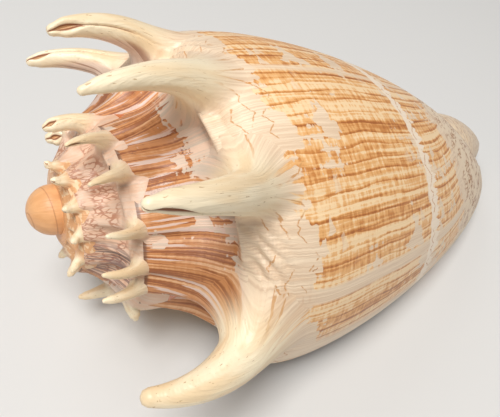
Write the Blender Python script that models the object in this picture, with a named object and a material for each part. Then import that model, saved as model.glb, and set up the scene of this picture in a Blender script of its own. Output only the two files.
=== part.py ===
"""Imperial volute shell: one closed solid, resting on its lip and the belly of its last whorl.

The shell is drawn upright, with its axis on Z and the pole of its coil at the origin,
and then laid down. A growth angle counts turns towards the lip, which is at zero:
one turn further back the coil is smaller by whorl_growth. Heights are drops below the pole.
"""
import math

import bmesh
import bpy
from mathutils import Matrix, Vector

# Coil
whorl_growth = 1.80
whorl_count = 3.4
spire_floor = 0.0150
spire_floor_sharpness = 6
lip_angle = math.radians(-6)
column_step = math.radians(7.5)

# Section of the last whorl at the lip, as radius and drop
shoulder_radius = 0.0550
shoulder_drop = 0.0556
anterior_radius = 0.0105
anterior_drop = 0.2000
flank_bulge = (1.37, 0.10)
flank_taper = (0.75, 0.96)
flank_rows = 15
flank_crowding = 1.35
suture_row = 1
ramp_sag = 0.0016
ramp_rows = 4

# Folds of the shoulder at each spine, and the pocket that the ramp sinks into on its younger side
fold_lift = 0.0030
fold_pull = 0.0022
fold_rise = math.radians(26)
fold_fall = math.radians(11)
fold_drop_share = 0.6
fold_fading = 12
pocket_depth = 0.0050
pocket_middle = math.radians(10)
pocket_half_width = math.radians(17)
pocket_drop_share = 0.7
pocket_radius_share = 0.5
pocket_crowding = 1.3

# Larval shell at the apex: a dome, then a neck given as shares of its radius and length
protoconch_radius = 0.0069
protoconch_top = 0.0070
protoconch_length = 0.0190
protoconch_neck = ((1.08, 0.62), (0.80, 1.00))
protoconch_rings = 8
protoconch_sides = 24

# Columella with its fasciole, as drop and radius, and the canal that it leaves beside the lip
columella_sections = (
    (0.070, 0.0075), (0.130, 0.0085), (0.148, 0.0120), (0.160, 0.0152), (0.169, 0.0165),
    (0.178, 0.0150), (0.187, 0.0112), (0.195, 0.0065), (0.2005, 0.0020),
)
columella_sides = 28
canal_radius = 0.0065
canal_middle = math.radians(-25)
canal_half_width = math.radians(75)

# Cavity behind the lip. Past the lip its cutter stands clear of the columella by mouth_clearance
wall_thickness = 0.0032
deep_wall_share = 1.25
cavity_depth = math.radians(205)
cavity_overrun = math.radians(24)
cavity_step = math.radians(9)
cavity_levels = 16
cavity_readings = 160
cavity_head = 0.0040
cavity_foot = 0.0120
cavity_bite = 0.0004
cavity_end_pinch = 0.55
cavity_end_rings = 3
mouth_clearance = 0.0025
mouth_reach = math.radians(12)
least_gap = 0.0012
least_reach = 1.5
pocket_backing = 1.7
pocket_backing_reach = 1.6

# Spines: growth angle in degrees, length, lift at the root and at the tip as angles from the axis,
# sideways lean, radius at the root and at the tip
spines = {
    "last": (-28, 0.0355, 42, -18, 0, 0.0085, 0.0022),
    "second": (-76, 0.0408, 57, 5, -2, 0.0066, 0.0016),
    "third": (-112, 0.0356, 38, -9, 8, 0.0058, 0.0013),
    "fourth": (-144, 0.0302, 36, -14, 4, 0.0052, 0.0013),
    "fifth": (-179, 0.0252, 31, -7, -6, 0.0046, 0.0013),
    "sixth": (-222, 0.0148, 36, 0, -3, 0.0042, 0.0024),
    "seventh": (-256, 0.0100, 90, 80, 0, 0.0037, 0.0016),
    "eighth": (-290, 0.0105, 90, 88, 0, 0.0033, 0.0014),
    "ninth": (-317, 0.0112, 20, 3, 2, 0.0030, 0.0011),
    "tenth": (-352, 0.0048, 100, 95, 0, 0.0027, 0.0014),
    "eleventh": (-386, 0.0130, 36, 5, -7, 0.0025, 0.0009),
    "twelfth": (-401, 0.0138, 47, 3, -8, 0.0023, 0.0008),
    "thirteenth": (-422, 0.0148, 64, 19, -5, 0.0023, 0.0008),
    "fourteenth": (-453, 0.0160, 66, 19, 7, 0.0023, 0.0008),
    "fifteenth": (-476, 0.0145, 57, 2, 10, 0.0022, 0.0008),
    "sixteenth": (-502, 0.0110, 18, -20, 0, 0.0026, 0.0018),
    "seventeenth": (-540, 0.0030, 40, 10, 0, 0.0018, 0.0010),
}
spine_points = 7
spine_taper = 0.8
spine_root_depth = 0.0060
spine_root_share = 0.75

# How the shell lies: the apex raised, and the whorl turned about the axis
apex_raised = math.radians(12.7)
turned_down = math.radians(-60.3)

crease_angle = math.radians(50)
weld_distance = 0.00001
shell_colour = (0.72, 0.50, 0.34, 1.0)
shell_roughness = 0.35

full_turn = 2 * math.pi


def growth(angle):
    """Size of the coil at a growth angle, with the lip as one."""
    return whorl_growth ** (angle / full_turn)


def blend(low, high, share):
    return low + (high - low) * share


def smooth(share):
    share = min(max(share, 0.0), 1.0)
    return share * share * (3 - 2 * share)


def upright_point(angle, radius, drop):
    return Vector((radius * math.cos(-angle), radius * math.sin(-angle), -drop))


def flank_point(share):
    """Radius and drop of the flank from the shoulder, at share 0, to the anterior end, at 1."""
    height = anterior_drop - shoulder_drop
    middle_radii = (shoulder_radius * flank_bulge[0], shoulder_radius * flank_taper[0])
    radii = (shoulder_radius, *middle_radii, anterior_radius)
    drops = (0.0, height * flank_bulge[1], height * flank_taper[1], height)
    rest = 1 - share
    weights = (rest ** 3, 3 * share * rest ** 2, 3 * share ** 2 * rest, share ** 3)
    radius = sum(weight * value for weight, value in zip(weights, radii))
    drop = sum(weight * value for weight, value in zip(weights, drops))
    return radius, shoulder_drop + drop


def flank_share(row):
    """Rows stand closer together near the shoulder."""
    return (row / flank_rows) ** flank_crowding


suture_radius, suture_drop = (value / whorl_growth for value in flank_point(flank_share(suture_row)))


def ramp_point(share):
    """Radius and drop of the hollow ramp from the suture to the shoulder."""
    sag = ramp_sag * 4 * share * (1 - share)
    radius = blend(suture_radius, shoulder_radius, share) - sag
    drop = blend(suture_drop, shoulder_drop, share) + sag
    return radius, drop


def shoulder_fold(angle):
    """1 on a spine, falling steeply on its younger side and slowly on its older side."""
    fold = 0.0
    for spine in spines.values():
        ahead = angle - math.radians(spine[0])
        reach = fold_fall if ahead > 0 else fold_rise
        fold = max(fold, 1 - smooth(abs(ahead) / reach))
    return fold


def pocket(angle):
    """Depth of the ramp's hollow just past each spine, for a whorl of full size."""
    depth = 0.0
    for spine in spines.values():
        ahead = angle - math.radians(spine[0]) - pocket_middle
        depth = max(depth, pocket_depth * smooth(1 - abs(ahead) / pocket_half_width))
    return depth


def outer_point(angle, radius, drop, share_of_fold, share_of_pocket=0.0):
    """A point of the outside. The first whorls lie flat around the larval shell."""
    size = growth(angle)
    fold = blend(-fold_pull, fold_lift, shoulder_fold(angle)) * share_of_fold
    sunk = pocket(angle) * share_of_pocket
    coiled = (drop - fold_drop_share * fold + pocket_drop_share * sunk) * size
    sharpness = spire_floor_sharpness
    settled = (coiled ** sharpness + spire_floor ** sharpness) ** (1 / sharpness)
    return upright_point(angle, (radius + fold - pocket_radius_share * sunk) * size, settled)


def ramp_outer_point(angle, share):
    hollow = math.sin(math.pi * share ** pocket_crowding)
    return outer_point(angle, *ramp_point(share), share ** 2, hollow)


def flank_outer_point(angle, share):
    return outer_point(angle, *flank_point(share), (1 - share) ** fold_fading)


def body_mesh():
    """Spire and last whorl as one closed surface, with a flat face where the aperture will be."""
    turn_columns = round(full_turn / column_step)
    column_total = round(whorl_count * turn_columns)
    body = bmesh.new()
    columns = []
    for column in range(column_total + 1):
        angle = lip_angle - column * column_step
        rows = [None]
        for row in range(1, ramp_rows + 1):
            rows.append(body.verts.new(ramp_outer_point(angle, row / ramp_rows)))
        flank_end = flank_rows if column <= turn_columns else suture_row
        for row in range(1, flank_end + 1):
            rows.append(body.verts.new(flank_outer_point(angle, flank_share(row))))
        columns.append(rows)
    for column, rows in enumerate(columns):
        older = column + turn_columns
        if older <= column_total:
            rows[0] = columns[older][ramp_rows + suture_row]
        else:
            rows[0] = body.verts.new(ramp_outer_point(lip_angle - column * column_step, 0.0))

    def add_face(*corners):
        distinct = list(dict.fromkeys(corners))
        if len(distinct) > 2:
            body.faces.new(distinct)

    for younger, older in zip(columns, columns[1:]):
        for row in range(min(len(younger), len(older)) - 1):
            add_face(younger[row], older[row], older[row + 1], younger[row + 1])

    lip = columns[0]
    behind = columns[turn_columns][ramp_rows + suture_row:]
    inner = [behind[min(step, len(behind) - 1)] for step in range(len(lip))]
    for step in range(len(lip) - 1):
        add_face(lip[step], lip[step + 1], inner[step + 1], inner[step])

    rims = [rows[-1] for rows in columns[:turn_columns + 1]]
    axis_points = [body.verts.new((0.0, 0.0, rim.co.z)) for rim in rims]
    for place in range(turn_columns):
        add_face(rims[place], rims[place + 1], axis_points[place + 1], axis_points[place])
        add_face(rims[0], axis_points[place], axis_points[place + 1])
    add_face(rims[0], axis_points[-1], rims[-1])

    last = columns[-1]
    tip = body.verts.new((0.0, 0.0, last[0].co.z))
    open_end = columns[-turn_columns - 1:]
    for younger, older in zip(open_end, open_end[1:]):
        add_face(younger[0], older[0], tip)
    for row in range(len(last) - 1):
        add_face(last[row], last[row + 1], tip)
    return finished_mesh("shell", body)


def finished_mesh(name, shape):
    bmesh.ops.recalc_face_normals(shape, faces=shape.faces)
    bmesh.ops.triangulate(shape, faces=shape.faces)
    mesh = bpy.data.meshes.new(name)
    shape.to_mesh(mesh)
    shape.free()
    mesh.shade_smooth()
    mesh.set_sharp_from_angle(angle=crease_angle)
    return mesh


def ring_loft(name, rings):
    """Closed solid through rings of equal counts, with a flat cap at each end."""
    shape = bmesh.new()
    loops = [[shape.verts.new(point) for point in ring] for ring in rings]
    for low, high in zip(loops, loops[1:]):
        for place in range(len(low)):
            following = (place + 1) % len(low)
            shape.faces.new((low[place], low[following], high[following], high[place]))
    shape.faces.new(loops[0])
    shape.faces.new(loops[-1])
    return finished_mesh(name, shape)


def between(table, value):
    """Straight reading of a two-column table."""
    if value <= table[0][0]:
        return table[0][1]
    for (low, low_value), (high, high_value) in zip(table, table[1:]):
        if value <= high:
            return blend(low_value, high_value, (value - low) / (high - low))
    return table[-1][1]


def columella_radius(azimuth, drop):
    """Round pillar, pinched on the side where the canal runs beside the lip."""
    radius = between(columella_sections, drop)
    away = abs((azimuth - canal_middle + math.pi) % full_turn - math.pi)
    pinch = smooth(1 - away / canal_half_width)
    return blend(radius, min(radius, canal_radius), pinch)


def columella_mesh():
    rings = []
    for drop, _ in columella_sections:
        ring = []
        for side in range(columella_sides):
            azimuth = full_turn * side / columella_sides
            radius = columella_radius(azimuth, drop)
            ring.append((radius * math.cos(azimuth), radius * math.sin(azimuth), -drop))
        rings.append(ring)
    return ring_loft("columella", rings)


def protoconch_mesh():
    """Blunt dome on a short neck, which covers the first whorls."""
    profile = []
    for step in range(1, protoconch_rings + 1):
        lean = 0.5 * math.pi * step / protoconch_rings
        profile.append((protoconch_radius * math.sin(lean), protoconch_radius * (1 - math.cos(lean))))
    for radius_share, length_share in protoconch_neck:
        profile.append((protoconch_radius * radius_share, protoconch_length * length_share))
    turns = [full_turn * side / protoconch_sides for side in range(protoconch_sides)]
    rings = []
    for radius, depth in profile:
        drop = protoconch_top + depth
        rings.append([(radius * math.cos(turn), radius * math.sin(turn), -drop) for turn in turns])
    return ring_loft("protoconch", rings)


def outline_readings():
    """Drop and radius of the whorl's whole outline at the lip, from the suture down."""
    ramp_steps = 12
    flank_steps = 60
    points = [ramp_point(step / ramp_steps) for step in range(ramp_steps)]
    points += [flank_point(step / flank_steps) for step in range(flank_steps + 1)]
    return sorted((drop, radius) for radius, drop in points)


outline_table = outline_readings()


def outer_radius(angle, drop):
    size = growth(angle)
    return between(outline_table, drop / size) * size


def cavity_section(angle):
    """Drop, inner and outer radius of the hollow, from its top corner down to the canal."""
    clear = blend(cavity_bite, -mouth_clearance, smooth((angle - lip_angle) / mouth_reach))
    size = growth(angle)
    rim = anterior_drop * size
    wall = wall_thickness * blend(1.0, deep_wall_share, smooth((lip_angle - angle) / cavity_depth))
    sunk = pocket_backing * pocket(angle) * size
    levels = []
    for step in range(cavity_readings + 1):
        drop = blend(suture_drop * size + cavity_head, rim + cavity_foot, step / cavity_readings)
        inner = columella_radius(-angle, drop)
        if drop < rim / whorl_growth:
            inner = max(inner, outer_radius(angle - full_turn, drop))
        under_ramp = smooth(pocket_backing_reach - drop / (shoulder_drop * size))
        outer = outer_radius(angle, min(drop, rim)) - wall - sunk * under_ramp
        levels.append((drop, inner - clear, outer))
    wide = [outer - inner > least_gap for _, inner, outer in levels]
    first = wide.index(True)
    last = first
    while last + 1 < len(levels) and (wide[last + 1] or levels[last][0] < shoulder_drop * size * least_reach):
        last += 1
    return [(drop, inner, max(outer, inner + least_gap)) for drop, inner, outer in levels[first:last + 1]]


def cavity_mesh():
    rings = []
    count = round((cavity_depth + cavity_overrun) / cavity_step)
    for place in range(count + 1):
        angle = lip_angle + cavity_overrun - place * cavity_step
        found = cavity_section(angle)
        last = len(found) - 1
        levels = [found[round(level * last / cavity_levels)] for level in range(cavity_levels + 1)]
        close = 1 - cavity_end_pinch * smooth((place - count + cavity_end_rings) / cavity_end_rings)
        outer_side = []
        inner_side = []
        for drop, inner, outer in levels:
            middle = 0.5 * (inner + outer)
            outer_side.append(upright_point(angle, blend(middle, outer, close), drop))
            inner_side.append(upright_point(angle, blend(middle, inner, close), drop))
        rings.append(outer_side + inner_side[::-1])
    return ring_loft("cavity", rings)


def spine_line(angle_degrees, length, root_lift, tip_lift, lean, root_radius, tip_radius):
    """Places and radii along a spine, which leaves the shoulder and bends towards the apex."""
    angle = math.radians(angle_degrees)
    size = growth(angle)
    radius = shoulder_radius * size
    drop = shoulder_drop * size
    step = length / (spine_points - 1)
    lift = math.radians(root_lift)
    depth = min(spine_root_depth, root_radius)
    buried = upright_point(angle, radius - depth * math.sin(lift), drop + depth * math.cos(lift))
    line = [(buried, spine_root_share * root_radius)]
    for point in range(spine_points):
        share = point / (spine_points - 1)
        thickness = blend(root_radius, tip_radius, share ** spine_taper)
        line.append((upright_point(angle + math.radians(lean) * share, radius, drop), thickness))
        lift = math.radians(blend(root_lift, tip_lift, (point + 0.5) / (spine_points - 1)))
        radius += step * math.sin(lift)
        drop -= step * math.cos(lift)
    return line


def spine_object(name, values):
    """Round tapered horn, as a mesh made from a bevelled curve."""
    curve = bpy.data.curves.new(name, "CURVE")
    curve.dimensions = "3D"
    curve.bevel_depth = 1.0
    curve.bevel_resolution = 3
    curve.use_fill_caps = True
    line = spine_line(*values)
    spline = curve.splines.new("POLY")
    spline.points.add(len(line) - 1)
    for point, (place, thickness) in zip(spline.points, line):
        point.co = (*place, 1.0)
        point.radius = thickness
    guide = bpy.data.objects.new("guide", curve)
    bpy.context.scene.collection.objects.link(guide)
    bpy.context.view_layer.update()
    evaluated = guide.evaluated_get(bpy.context.evaluated_depsgraph_get())
    mesh = bpy.data.meshes.new_from_object(evaluated)
    shape = bmesh.new()
    shape.from_mesh(mesh)
    bmesh.ops.remove_doubles(shape, verts=shape.verts, dist=weld_distance)
    bmesh.ops.recalc_face_normals(shape, faces=shape.faces)
    shape.to_mesh(mesh)
    shape.free()
    mesh.shade_smooth()
    mesh.set_sharp_from_angle(angle=crease_angle)
    horn = bpy.data.objects.new(name, mesh)
    horn.matrix_world = guide.matrix_world
    bpy.data.objects.remove(guide)
    return horn


def add_boolean(target, tool, operation):
    modifier = target.modifiers.new(tool.name, "BOOLEAN")
    modifier.operation = operation
    modifier.solver = "EXACT"
    modifier.object = tool


def hide_tool(tool, collection):
    collection.objects.link(tool)
    tool.hide_render = True
    tool.display_type = "WIRE"


def shell_material():
    material = bpy.data.materials.new("shell")
    material.use_nodes = True
    surface = material.node_tree.nodes["Principled BSDF"]
    surface.inputs["Base Color"].default_value = shell_colour
    surface.inputs["Roughness"].default_value = shell_roughness
    surface.inputs["Metallic"].default_value = 0.0
    return material


def rest_matrix():
    """Axis laid along X with the apex at -X, turned about itself, and raised at the apex."""
    laid = Matrix(((0, 0, -1), (-1, 0, 0), (0, 1, 0))).to_4x4()
    turned = Matrix.Rotation(math.radians(90) + turned_down, 4, "X")
    raised = Matrix.Rotation(apex_raised, 4, "Y")
    return raised @ turned @ laid


def standing_matrix(shell):
    """Lays the shell so that its lowest point is at zero, with the origin under the middle of its box."""
    bpy.context.view_layer.update()
    evaluated = shell.evaluated_get(bpy.context.evaluated_depsgraph_get())
    places = [rest_matrix() @ vertex.co for vertex in evaluated.data.vertices]
    lows = [min(place[axis] for place in places) for axis in range(3)]
    highs = [max(place[axis] for place in places) for axis in range(3)]
    shift = Matrix.Translation((-(lows[0] + highs[0]) / 2, -(lows[1] + highs[1]) / 2, -lows[2]))
    return shift @ rest_matrix()


def build():
    for old in list(bpy.data.objects):
        bpy.data.objects.remove(old)
    parts = bpy.data.collections.new("imperial_volute_shell")
    tools = bpy.data.collections.new("cutters")
    bpy.context.scene.collection.children.link(parts)
    bpy.context.scene.collection.children.link(tools)

    shell = bpy.data.objects.new("shell", body_mesh())
    parts.objects.link(shell)
    shell.data.materials.append(shell_material())

    joined = [bpy.data.objects.new("columella", columella_mesh())]
    joined.append(bpy.data.objects.new("protoconch", protoconch_mesh()))
    joined += [spine_object(name + "_spine", values) for name, values in spines.items()]
    for piece in joined:
        hide_tool(piece, tools)
        add_boolean(shell, piece, "UNION")
    cavity = bpy.data.objects.new("cavity", cavity_mesh())
    hide_tool(cavity, tools)
    add_boolean(shell, cavity, "DIFFERENCE")

    placed = standing_matrix(shell)
    for piece in [shell, cavity] + joined:
        piece.matrix_world = placed


build()
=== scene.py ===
import math
from types import SimpleNamespace
import bpy
import numpy as np
from mathutils import Matrix, Vector


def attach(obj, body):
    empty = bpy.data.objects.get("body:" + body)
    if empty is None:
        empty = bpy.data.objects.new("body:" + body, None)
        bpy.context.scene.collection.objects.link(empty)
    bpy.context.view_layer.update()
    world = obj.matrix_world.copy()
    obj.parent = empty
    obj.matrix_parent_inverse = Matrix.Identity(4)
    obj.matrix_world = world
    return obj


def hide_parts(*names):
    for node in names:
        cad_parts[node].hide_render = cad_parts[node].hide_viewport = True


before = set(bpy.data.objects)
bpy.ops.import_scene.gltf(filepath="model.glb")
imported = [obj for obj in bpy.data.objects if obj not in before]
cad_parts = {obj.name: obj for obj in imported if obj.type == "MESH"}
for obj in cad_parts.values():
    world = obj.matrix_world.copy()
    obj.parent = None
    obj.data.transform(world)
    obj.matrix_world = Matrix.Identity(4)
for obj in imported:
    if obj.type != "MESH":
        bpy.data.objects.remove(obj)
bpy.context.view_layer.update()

# The shell is worked out upright, pole of the coil at the origin, drops counted down from it,
# growth angles counted from the lip, and everything in metres at the size of the lip's whorl.
coil = {
    "growth": 1.80,  # size from one whorl to the next
    "turns": 3.4,
    "lipAngle": -6.0,
    "shoulder": (0.0550, 0.0556),  # radius, drop
    "end": (0.0105, 0.2000),  # radius, drop at the front end
    "bulge": (1.37, 0.10),  # shares of the radius and height, for the flank's first bend
    "taper": (0.75, 0.96),  # the same for its second bend
    "sutureShare": 0.0258,  # the next whorl covers the flank from this share on
    "sag": 0.0016,  # how far the ramp sags in its middle
    "flankSteps": 401,
    "floor": 0.0150,  # the first whorls settle flat at this drop
    "floorSharpness": 6,
}

lie = {
    "apexRaised": 12.7,
    "turnedDown": -60.3,
    "pole": (-0.10135, 0.01073, 0.05149),
}

turn = 2 * math.pi


def blend(low, high, share):
    return low + (high - low) * share


def smooth(share):
    share = np.clip(share, 0.0, 1.0)
    return share * share * (3 - 2 * share)


def rising(value, start, over):
    return smooth((value - start) / over)


def growthAt(angle):
    return coil["growth"] ** (angle / turn)


def flankProfile(share):
    radius, drop = coil["shoulder"]
    height = coil["end"][1] - drop
    rest = 1 - share
    weights = (rest ** 3, 3 * share * rest ** 2, 3 * share ** 2 * rest, share ** 3)
    radii = (radius, radius * coil["bulge"][0], radius * coil["taper"][0], coil["end"][0])
    drops = (0.0, height * coil["bulge"][1], height * coil["taper"][1], height)
    return sum(w * r for w, r in zip(weights, radii)), drop + sum(w * d for w, d in zip(weights, drops))


shoulderRadius, shoulderDrop = coil["shoulder"]
sutureRadius, sutureDrop = (value / coil["growth"] for value in flankProfile(coil["sutureShare"]))
rampLength = math.hypot(shoulderRadius - sutureRadius, shoulderDrop - sutureDrop)
flankShares = np.linspace(0, 1, coil["flankSteps"])
flankPlaces = np.stack(flankProfile(flankShares))
flankRun = np.concatenate([[0], np.cumsum(np.hypot(*np.diff(flankPlaces, axis=1)))])
flankLength = flankRun[-1]
sutureRun = float(np.interp(coil["sutureShare"], flankShares, flankRun))


def standMatrix():
    laid = Matrix(((0, 0, -1), (-1, 0, 0), (0, 1, 0))).to_4x4()
    turned = Matrix.Rotation(math.radians(90 + lie["turnedDown"]), 4, "X")
    raised = Matrix.Rotation(math.radians(lie["apexRaised"]), 4, "Y")
    return Matrix.Translation(lie["pole"]) @ raised @ turned @ laid


# Growth angle, length, lift at root and tip from the axis, sideways lean, radius at root and tip
spines = {
    "last": (-28, 0.0355, 42, -18, 0, 0.0085, 0.0023),
    "second": (-76, 0.0408, 57, 5, -2, 0.0068, 0.0021),
    "third": (-112, 0.0356, 38, -9, 8, 0.0060, 0.0015),
    "fourth": (-144, 0.0296, 36, -14, 4, 0.0053, 0.0022),
    "fifth": (-179, 0.0248, 31, -7, -6, 0.0047, 0.0021),
    "sixth": (-222, 0.0148, 36, 0, -3, 0.0043, 0.0029),
    "seventh": (-256, 0.0100, 90, 80, 0, 0.0037, 0.0018),
    "eighth": (-290, 0.0105, 90, 88, 0, 0.0033, 0.0014),
    "ninth": (-317, 0.0112, 20, 3, 2, 0.0030, 0.0011),
    "tenth": (-352, 0.0048, 100, 95, 0, 0.0027, 0.0014),
    "eleventh": (-386, 0.0130, 36, 5, -7, 0.0025, 0.0009),
    "twelfth": (-401, 0.0138, 47, 3, -8, 0.0023, 0.0008),
    "thirteenth": (-422, 0.0148, 64, 19, -5, 0.0023, 0.0008),
    "fourteenth": (-453, 0.0160, 66, 19, 7, 0.0023, 0.0008),
    "fifteenth": (-476, 0.0145, 57, 2, 10, 0.0022, 0.0008),
    "sixteenth": (-502, 0.0110, 18, -20, 0, 0.0026, 0.0019),
    "seventeenth": (-540, 0.0030, 40, 10, 0, 0.0018, 0.0010),
    "knobA": (-582, 0.0022, 60, 30, 0, 0.0018, 0.0010),
    "knobB": (-624, 0.0026, 60, 40, 0, 0.0018, 0.0010),
    "knobC": (-664, 0.0026, 60, 40, 0, 0.0017, 0.0010),
    "knobD": (-702, 0.0026, 60, 40, 0, 0.0016, 0.0009),
    "knobE": (-738, 0.0036, 62, 40, 0, 0.0016, 0.0009),
    "knobF": (-768, 0.0022, 62, 40, 0, 0.0016, 0.0009),
    "knobG": (-798, 0.0022, 50, 20, 0, 0.0015, 0.0009),
    "knobH": (-828, 0.0026, 50, 20, 0, 0.0015, 0.0008),
    "knobI": (-856, 0.0018, 60, 40, 0, 0.0014, 0.0008),
}
spineAngles = np.radians([values[0] for values in spines.values()])

fold = {
    "lift": 0.0034,  # the shoulder rises this far at a spine
    "pull": 0.0022,  # and sinks this far between two
    "rise": math.radians(27),  # slow rise on the older side of a spine
    "fall": math.radians(6),  # steep fall on its younger side
    "fading": 12,
    "pocketDepth": 0.0072,
    "pocketMiddle": math.radians(9),
    "pocketOlder": math.radians(11),
    "pocketYounger": math.radians(24),
    "climb": 1.0,
    "crestShare": 0.84,  # the pocket's sharp upper edge, across the ramp
    "crestFall": 0.10,
    "crestHeight": 0.0030,
    "crestStart": 0.03,
    "crestRise": 0.05,
    "pocketStart": 0.5,
    "liftToDrop": 0.6,  # shares of the lift and of the hollow that change drop and radius
    "sinkToDrop": 0.7,
    "sinkToRadius": 0.5,
}


def shoulderFold(angle):
    best = np.zeros_like(angle)
    for spineAngle in spineAngles:
        ahead = angle - spineAngle
        reach = np.where(ahead > 0, fold["fall"], fold["rise"])
        best = np.maximum(best, 1 - smooth(np.abs(ahead) / reach))
    return best


def pocketShare(angle):
    best = np.zeros_like(angle)
    for spineAngle in spineAngles:
        ahead = angle - spineAngle - fold["pocketMiddle"]
        reach = np.where(ahead > 0, fold["pocketYounger"], fold["pocketOlder"])
        best = np.maximum(best, smooth(1 - np.abs(ahead) / reach))
    return best


wrinkle = {
    "height": 0.0009,
    "spacing": 0.0050,
    "slant": 0.040,  # ridges run this far across the whorl for each radian along it
    "middle": 0.0020,
    "reach": 0.0120,
    "places": (math.radians(-56), math.radians(-129)),
    "halfWidth": math.radians(17),
    "bend": 0.35,
    "bends": 9,
}


def wrinkles(angle, run):
    # Slanting ridges that pull across the shoulder from the root of one spine to the next
    near = np.zeros(np.broadcast(angle, run).shape)
    for place in wrinkle["places"]:
        near = np.maximum(near, smooth(1 - np.abs(angle - place) / wrinkle["halfWidth"]))
    near = near * smooth(1 - np.abs(run - wrinkle["middle"]) / wrinkle["reach"])
    phase = (run - wrinkle["slant"] * angle) / wrinkle["spacing"]
    phase = phase + wrinkle["bend"] * np.sin(wrinkle["bends"] * angle)
    return wrinkle["height"] * near * np.sin(turn * phase)


def upright(angle, radius, drop):
    angle, radius, drop = np.broadcast_arrays(angle, radius, drop)
    return np.stack([radius * np.cos(-angle), radius * np.sin(-angle), -drop], axis=-1)


def outside(angle, run):
    # run is the way across a whorl, in metres: below zero on the ramp, above zero on the flank
    angle, run = np.broadcast_arrays(np.asarray(angle, float), np.asarray(run, float))
    rampShare = np.clip(1 + run / rampLength, 0, 1)
    flankShare = np.interp(run, flankRun, flankShares)
    sag = coil["sag"] * 4 * rampShare * (1 - rampShare)
    flankRadius, flankDrop = flankProfile(flankShare)
    onRamp = run < 0
    radius = np.where(onRamp, blend(sutureRadius, shoulderRadius, rampShare) - sag, flankRadius)
    drop = np.where(onRamp, blend(sutureDrop, shoulderDrop, rampShare) + sag, flankDrop)
    foldShare = np.where(onRamp, rampShare ** 2, (1 - flankShare) ** fold["fading"])
    edge = fold["crestShare"]
    hollow = smooth((edge - rampShare) / fold["crestFall"]) * smooth(rampShare / fold["pocketStart"])
    hollow = np.where(onRamp, hollow, 0.0)
    crest = smooth((rampShare - edge + fold["crestStart"]) / fold["crestRise"])
    crest = crest * (1 - smooth((rampShare - edge) / (1 - edge)))
    lifted = blend(-fold["pull"], fold["lift"], shoulderFold(angle)) * foldShare
    # At its suture a whorl climbs on the folds of the whorl before it
    before = blend(-fold["pull"], fold["lift"], shoulderFold(angle - turn)) / coil["growth"]
    lifted = lifted + np.where(onRamp, fold["climb"] * before * (1 - rampShare) ** 2, 0.0)
    lifted = lifted + wrinkles(angle, run)
    sunk = pocketShare(angle) * (fold["pocketDepth"] * hollow - fold["crestHeight"] * crest)
    size = growthAt(angle)
    coiled = (drop - fold["liftToDrop"] * lifted + fold["sinkToDrop"] * sunk) * size
    power = coil["floorSharpness"]
    settled = (coiled ** power + coil["floor"] ** power) ** (1 / power)
    return upright(angle, (radius + lifted - fold["sinkToRadius"] * sunk) * size, settled)


# Each piece gathers grids of places with their marks, which are joined into one mesh
marks = ("along", "across", "spine", "inside", "early", "pillar", "slot")
pieceNames = ("shellWhorls", "shellSpines", "shellMouth")
pieces = {name: {key: [] for key in ("places", "faces", "kinds", *marks)} for name in pieceNames}


def addGrid(places, closed=False, keep=None, kind=0, flip=False, piece="shellWhorls", **values):
    gathered = pieces[piece]
    rows, columns = places.shape[:2]
    start = sum(len(block) for block in gathered["places"])
    gathered["places"].append(places.reshape(-1, 3))
    for mark in marks:
        value = np.broadcast_to(values.get(mark, 0.0), (rows, columns))
        gathered[mark].append(value.reshape(-1))
    number = start + np.arange(rows * columns).reshape(rows, columns)
    if closed:
        number = np.concatenate([number, number[:, :1]], axis=1)
    quads = np.stack([number[:-1, :-1], number[1:, :-1], number[1:, 1:], number[:-1, 1:]], axis=-1)
    if keep is not None:
        quads = quads[keep]
    quads = quads.reshape(-1, 4)
    if flip:
        quads = quads[:, ::-1]
    gathered["faces"].append(quads)
    gathered["kinds"].append(np.full(len(quads), kind))


def surfaceNormals(places):
    down = np.gradient(places, axis=0)
    over = np.gradient(places, axis=1)
    normals = np.cross(down, over)
    return normals / np.maximum(np.linalg.norm(normals, axis=-1, keepdims=True), 1e-12)


body = {
    "column": math.radians(1.1),
    "rampRows": 46,
    "flankRows": 78,
    "crowding": 1.5,  # rows stand closer together at the shoulder
    "mouthDepth": math.radians(215),
    "coveredFrom": 0.0150,  # past its suture a whorl is left out where the next one hides it
}

# Growth angles back from the lip, where the colour changes to tan and then to the larval shell's
earlyWhorls = {
    "tan": (1.72 * turn, 0.20 * turn),  # where it starts, and over how far
    "dome": (2.80 * turn, 0.05 * turn),
}

root = {
    "reach": (2.3, 1.3, 2.0, 2.2),  # in radii: older, younger, flank and ramp side
    "hole": 0.62,  # the whorl is open under a root up to this share of its reach
    "inner": 0.45,
    "rise": 0.9,
    "sink": 0.00006,
}


def rootReach(values):
    # Reach of a spine's spread root over the whorl: older, younger, flank and ramp side
    return [share * values[5] for share in root["reach"]]


def rootPlace(values, share, bearing):
    # A place on the whorl around a spine, at a share of its root's reach
    older, younger, flankSide, rampSide = rootReach(values)
    cosine, sine = np.cos(bearing), np.sin(bearing)
    angle = math.radians(values[0])
    size = growthAt(angle)
    sideways = np.where(cosine > 0, younger, older) * cosine * share
    across = np.where(sine > 0, flankSide, rampSide) * sine * share
    return angle + sideways / (shoulderRadius * size), across / size


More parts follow.
